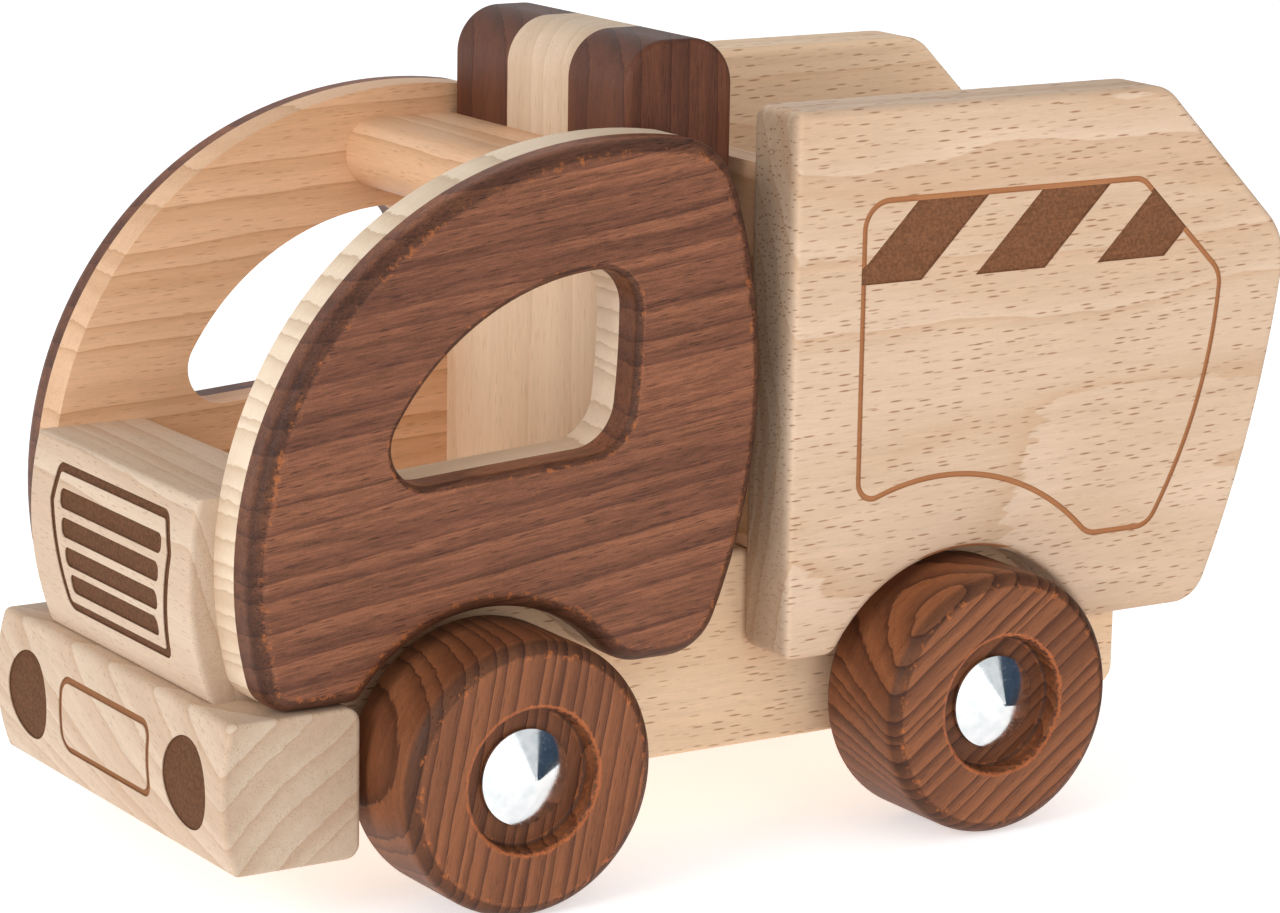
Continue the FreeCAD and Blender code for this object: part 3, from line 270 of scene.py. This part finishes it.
def timber(name, look, grain, radial, middle=(0.0, 0.0, 0.0), pith=260.0, marks=None, finish=None):
    """A material of one board: grain and radial are directions in the truck's frame.

    middle is the place the pattern is laid out about, and pith how far inwards of it the tree's
    centre lies.  marks(graph) may return where the wood is burnt, where the burn is thick, both
    from 0 to 1, and the burn's brightness; a last pass, called with (graph, wood), may tint the wood
    last of all, and on the wheels it adds painted shade in the hub recess and a bright rim that is
    partly rubbed wood and partly a painted highlight.
    """
    look = LOOKS[look]
    material, graph, shader = new_material(name)
    shader.inputs["Specular IOR Level"].default_value = GLOSS
    space = grain_space(graph, grain, radial, middle)
    late = rings(graph, space, look, pith)
    fine = graph.noise(graph.vector("MULTIPLY", space, (0.22, 4.2, 4.2)), 1.0, 3.0, 0.65)
    broad = graph.noise(graph.vector("MULTIPLY", space, (0.04, 0.8, 0.8)), 1.0, 2.0, 0.5)
    tone = graph.noise(graph.vector("MULTIPLY", space, (0.014, 0.06, 0.06)), 1.0, 2.0, 0.5)
    speck = graph.noise(space, 1.7, 3.0, 0.7)

    wood = graph.blend(graph.times(late, look["ring_depth"]), colour(*look["early"]), colour(*look["late"]))
    wood = graph.blend(graph.step(tone, 0.42, 0.72, 0.0, 0.30), wood, colour(*look["late"]))
    streak = graph.times(graph.add(graph.add(fine, graph.times(broad, 0.6)), -0.8), 1.9 * look["fibre"])
    mottle = graph.times(graph.add(speck, -0.5), 0.7 * look["fibre"])
    wood = darken(graph, wood, graph.add(graph.add(streak, mottle), 1.0))

    fleck = ray_flecks(graph, space, look)
    wood = graph.blend(graph.times(fleck, look["fleck_depth"]), wood, colour(*look["fleck"]))

    # End grain drinks more oil, so it is darker; on the beech and dark looks it is darkened further as
    # painted shade for end faces in shaded gaps and window walls.
    normal = graph.node("ShaderNodeTexCoord").outputs["Normal"]
    facing_end = graph.maths("ABSOLUTE", graph.vector("DOT_PRODUCT", normal, Vector(grain).normalized()))
    wood = darken(graph, wood, graph.step(facing_end, 0.35, 0.95, 1.0, look["end_grain_and_shade"]))
    if look["edge"]:
        # Rounded edges get painted shade, and next to the flat face a bright band that is partly rubbed wood
        # and partly a painted highlight.
        rounded, rubbed_and_highlight = edge_shade_and_highlight(graph, normal)
        wood = darken(graph, wood, graph.add(graph.times(rounded, -0.50), 1.0))
        wood = graph.blend(graph.times(rubbed_and_highlight, 0.65), wood, colour(*look["edge"]))

    if finish:
        wood = finish(graph, wood)
    rough = graph.add(graph.times(fine, 0.16), look["rough"] - 0.08)
    height = graph.add(graph.add(graph.times(late, 0.8), graph.times(fine, 0.5)), graph.times(fleck, -0.5))
    if marks:
        burnt, thick, brightness = marks(graph)
        char = graph.blend(graph.step(speck, 0.35, 0.68), colour(60, 34, 21), colour(92, 57, 37))
        char = darken(graph, graph.blend(graph.times(thick, 0.85), colour(134, 89, 57), char),
                      brightness)
        char = darken(graph, char, graph.add(graph.times(streak, 0.9), 1.0))
        wood = graph.blend(graph.times(burnt, 0.96), wood, char)
        rough = graph.add(rough, graph.times(burnt, 0.2))
        graph.feed(shader.inputs["Specular IOR Level"], graph.add(graph.times(burnt, -0.18), GLOSS))
    relief = {"Strength": 1.0, "Distance": look["relief"] * MM, "Height": height}
    bump = graph.node("ShaderNodeBump", relief)
    graph.feed(shader.inputs["Base Color"], wood)
    graph.feed(shader.inputs["Roughness"], rough)
    graph.feed(shader.inputs["Normal"], bump.outputs["Normal"])
    return material


# ---------------------------------------------------------------- burnt marks
# The marks are cut a third of a millimetre deep, so depth below the face tells burnt wood from bare.
MARK_SHALLOW, MARK_DEEP = 0.14, 0.24
MARK_LIMIT = 0.7
SIDE_BRIGHTNESS, FRONT_BRIGHTNESS = 1.8, 1.15

# The hopper side's bars lean at 45 degrees, one to each pitch of Y - Z, and fill this share of it.
BAR_PITCH, BAR_SHARE, BAR_START = 26.0, 0.572, -84.43
BAR_LOW, BAR_HIGH = 95.7, 109.3


def sunk(graph, depth):
    """1 on the floor of a mark."""
    return graph.times(graph.step(depth, MARK_SHALLOW, MARK_DEEP),
                       graph.step(depth, MARK_LIMIT, MARK_LIMIT + 0.1, 1.0, 0.0))


def side_marks(graph):
    """The hopper side's outline and its three slanted bars."""
    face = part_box("hopper_side_left")[1][0] / MM
    x, y, z = graph.split(place(graph))
    depth = graph.maths("SUBTRACT", face, graph.maths("ABSOLUTE", x))
    field = graph.times(within(graph, y, 13.0, 92.0), within(graph, z, 47.0, 111.0))
    burnt = graph.times(sunk(graph, depth), field)
    lean = graph.times(graph.maths("SUBTRACT", graph.add(y, -BAR_START), z), 1.0 / BAR_PITCH)
    bar = graph.step(graph.maths("FRACT", lean), BAR_SHARE - 0.003, BAR_SHARE + 0.003, 1.0, 0.0)
    thick = graph.times(bar, within(graph, z, BAR_LOW, BAR_HIGH))
    return burnt, thick, SIDE_BRIGHTNESS


def circle_through(a, b, c):
    """The centre and radius of the circle through three points of the YZ plane."""
    (ay, az), (by, bz), (cy, cz) = a, b, c
    twice = 2 * (ay * (bz - cz) + by * (cz - az) + cy * (az - bz))
    sa, sb, sc = ay ** 2 + az ** 2, by ** 2 + bz ** 2, cy ** 2 + cz ** 2
    y = (sa * (bz - cz) + sb * (cz - az) + sc * (az - bz)) / twice
    z = (sa * (cy - by) + sb * (ay - cy) + sc * (by - ay)) / twice
    return (y, z), math.hypot(ay - y, az - z)


def front_marks(profile, half_width, low, high, thick_beyond):
    """Marks on a bowed front that passes through three (Y, Z) places, thick beyond a width."""
    (centre_y, centre_z), radius = circle_through(*profile)

    def marks(graph):
        x, y, z = graph.split(place(graph))
        reach = graph.vector("LENGTH", graph.join(0.0, graph.add(y, -centre_y), graph.add(z, -centre_z)))
        depth = graph.maths("SUBTRACT", radius, reach)
        field = graph.times(within(graph, x, -half_width, half_width), within(graph, z, low, high))
        thick = graph.step(graph.maths("ABSOLUTE", x), thick_beyond - 0.1, thick_beyond + 0.1)
        return graph.times(sunk(graph, depth), field), thick, FRONT_BRIGHTNESS
    return marks


BUMPER_PROFILE = ((-103.84, 35.4), (-105.74, 23.5), (-103.24, 10.3))
GRILLE_PROFILE = ((-102.94, 69.0), (-104.64, 51.5), (-100.94, 35.4))
bumper_marks = front_marks(BUMPER_PROFILE, 38.5, 14.5, 31.5, 20.0)
grille_marks = front_marks(GRILLE_PROFILE, 25.0, 39.0, 67.5, -1.0)


# ---------------------------------------------------------------- boards
GRAIN_Y, GRAIN_X, GRAIN_Z = (0.0, 1.0, 0.0), (1.0, 0.0, 0.0), (0.0, 0.0, 1.0)


def paint(name, material):
    """Give a CAD piece one material."""
    mesh = NODES[name].data
    mesh.materials.clear()
    mesh.materials.append(material)


def board(name, look, grain, radial, **more):
    """Paint a piece with a timber of its own, laid out about its middle."""
    paint(name, timber(f"{look}_{name}", look, grain, radial, middle=box_middle(name), **more))


# The grain and the way across the rings of the wheels at each end, with the pith's distance.
WHEELS = (("front", (0.0, 0.20, 1.0), (0.12, 1.0, -0.20), 90.0),
          ("rear", (0.0, 0.86, 0.62), (0.40, -0.62, 0.86), 150.0))


def paint_all():
    for side, sign in (("left", 1.0), ("right", -1.0)):
        # The far (right) hopper side takes the brighter light_beech as painted light for the shade on its
        # inner face.
        board(f"hopper_side_{side}", "beech" if side == "left" else "light_beech", (0.0, 1.0, 0.03),
              (sign, 0.0, 0.12), pith=90.0, marks=side_marks)
        board(f"cab_side_outer_{side}", "dark", (0.0, 1.0, 0.13), (0.0, 0.0, -1.0), pith=420.0)
        # The far (right) cab side's inner layer takes the warm look as painted light for the shade it lies
        # in.
        board(f"cab_side_inner_{side}", "warm" if side == "right" else "pale", (0.0, 1.0, 0.05),
              (0.0, 0.0, 1.0), pith=420.0)
        for end, grain, radial, pith in WHEELS:
            wheel = f"wheel_{end}_{side}"
            board(wheel, "wheel", grain, radial, pith=pith, finish=hub_recess(wheel))
        for end in ("front", "rear"):
            board(f"wheel_spacer_{end}_{side}", "beech", GRAIN_X, GRAIN_Z)
            paint(f"hub_cap_{end}_{side}", steel(f"cap_{end}_{side}"))
    board("front_bumper", "fine_beech", (1.0, 0.0, -0.42), (0.0, -0.62, 0.78), marks=bumper_marks)
    board("grille_block", "fine_beech", (1.0, 0.0, -0.06), (0.0, 1.0, 0.3), marks=grille_marks)
    board("roof_bar", "warm", GRAIN_X, (0.0, 0.8, 0.5))
    board("chassis_beam", "light_beech", GRAIN_Y, (1.0, 0.0, 0.2), pith=120.0)
    # The rear wall's ivory is painted light for the shade inside the cab.
    board("cab_rear_wall", "ivory", GRAIN_Z, (0.3, 1.0, 0.0))
    board("hopper_floor", "light_beech", GRAIN_Y, GRAIN_Z, pith=90.0)
    board("hopper_front_board", "warm", GRAIN_X, GRAIN_Y, pith=90.0)
    board("rear_flap", "beech", GRAIN_X, GRAIN_Y, pith=90.0)
    for name in ("roof_block_left", "roof_block_right"):
        board(name, "block", GRAIN_Z, (0.5, 1.0, 0.0))
    board("roof_block_middle", "cream", GRAIN_Z, (1.0, 0.5, 0.0))
    for name in ("tipping_pivot", "flap_pin", "cab_dowels", "hopper_dowels", "bumper_dowels",
                 "roof_block_dowels"):
        board(name, "beech", GRAIN_X, GRAIN_Y)
    for end in ("front", "rear"):
        paint(f"{end}_axle", steel(f"{end}_axle_steel"))


def steel(name):
    """Bright pressed steel with fine handling scratches."""
    material, graph, shader = new_material(name)
    point = place(graph)
    grit = graph.noise(graph.vector("MULTIPLY", point, (2.6, 3.4, 2.2)), 1.0, 4.0, 0.7)
    cloud = graph.noise(point, 0.5, 2.0)
    tint = graph.blend(graph.step(cloud, 0.35, 0.65), colour(226, 232, 234), colour(242, 244, 245))
    rough = graph.add(graph.step(grit, 0.50, 0.72, 0.07, 0.26), graph.times(cloud, 0.06))
    bump = graph.node("ShaderNodeBump", {"Strength": 1.0, "Distance": 0.006 * MM, "Height": grit})
    graph.feed(shader.inputs["Base Color"], tint)
    graph.feed(shader.inputs["Roughness"], rough)
    graph.feed(shader.inputs["Normal"], bump.outputs["Normal"])
    shader.inputs["Metallic"].default_value = 1.0
    return material


# ---------------------------------------------------------------- studio
def flat_panel(name, corners, material):
    """One rectangle of the studio, which is no part of the truck."""
    mesh = bpy.data.meshes.new(name)
    mesh.from_pydata(corners, [], [(0, 1, 2, 3)])
    mesh.materials.append(material)
    panel = bpy.data.objects.new(name, mesh)
    bpy.context.scene.collection.objects.link(panel)
    return panel


# Name, place in metres, power in watts and size in metres.
LAMPS = (("key", (0.45, -1.3, 0.6), 6.0, 0.5), ("side", (1.4, -0.2, 0.5), 2.6, 1.2))


def studio():
    world = bpy.data.worlds.new("studio_air")
    bpy.context.scene.world = world
    world.use_nodes = True
    air = Graph(world.node_tree)
    background = world.node_tree.nodes["Background"]
    upwards = air.split(air.node("ShaderNodeTexCoord").outputs["Generated"])[2]
    sky = air.blend(air.step(upwards, 0.0, 0.9), (1.0, 1.0, 1.0, 1.0), (0.66, 0.68, 0.70, 1.0))
    air.feed(background.inputs["Color"], sky)
    background.inputs["Strength"].default_value = 0.90

    paper, graph, shader = new_material("floor_paper")
    shader.inputs["Base Color"].default_value = (0.93, 0.93, 0.93, 1.0)
    shader.inputs["Roughness"].default_value = 0.9
    shader.inputs["Specular IOR Level"].default_value = 0.0
    shader.inputs["Emission Color"].default_value = (1.0, 1.0, 1.0, 1.0)
    shader.inputs["Emission Strength"].default_value = 0.50
    half, low = 6.0, -0.0002
    floor = [(-half, -half, low), (half, -half, low), (half, half, low), (-half, half, low)]
    flat_panel("studio_floor", floor, paper)

    # Dark cards behind the truck, one upright and one lying, are seen only in the bright caps.
    navy, graph, shader = new_material("card_paper")
    shader.inputs["Base Color"].default_value = (0.02, 0.04, 0.07, 1.0)
    shader.inputs["Roughness"].default_value = 0.9
    upright = [(-0.85, 0.7, 0.0), (0.85, 0.7, 0.0), (0.65, 0.7, 0.9), (-0.65, 0.7, 0.9)]
    lying = [(0.0, 0.10, 0.0003), (0.85, 0.10, 0.0003), (0.85, 0.7, 0.0003), (0.0, 0.7, 0.0003)]
    for name, corners in (("studio_card", upright), ("studio_card_foot", lying)):
        card = flat_panel(name, corners, navy)
        card.visible_camera = False
        card.visible_diffuse = False
        card.visible_shadow = False

    for name, spot, power, size in LAMPS:
        light = bpy.data.lights.new(name, "AREA")
        light.energy = power
        light.size = size
        lamp = bpy.data.objects.new(name, light)
        lamp.location = spot
        aim = Vector((0.0, 0.0, 0.07)) - Vector(spot)
        lamp.rotation_euler = aim.to_track_quat("-Z", "Y").to_euler()
        bpy.context.scene.collection.objects.link(lamp)


CAMERA_AT = (0.64208, -0.408365, 0.22856)
CAMERA_TURN = (77.3476, -0.9155, 57.9972)
CAMERA_LENS = 125.12
CAMERA_SHIFT = (0.0074, 0.0069)


def camera():
    data = bpy.data.cameras.new("camera")
    data.sensor_width = 36.0
    data.lens = CAMERA_LENS
    data.shift_x, data.shift_y = CAMERA_SHIFT
    data.clip_start, data.clip_end = 0.01, 50.0
    made = bpy.data.objects.new("camera", data)
    made.location = CAMERA_AT
    made.rotation_euler = [math.radians(angle) for angle in CAMERA_TURN]
    bpy.context.scene.collection.objects.link(made)
    bpy.context.scene.camera = made


paint_all()
studio()
camera()
bpy.context.scene.view_settings.view_transform = "Standard"
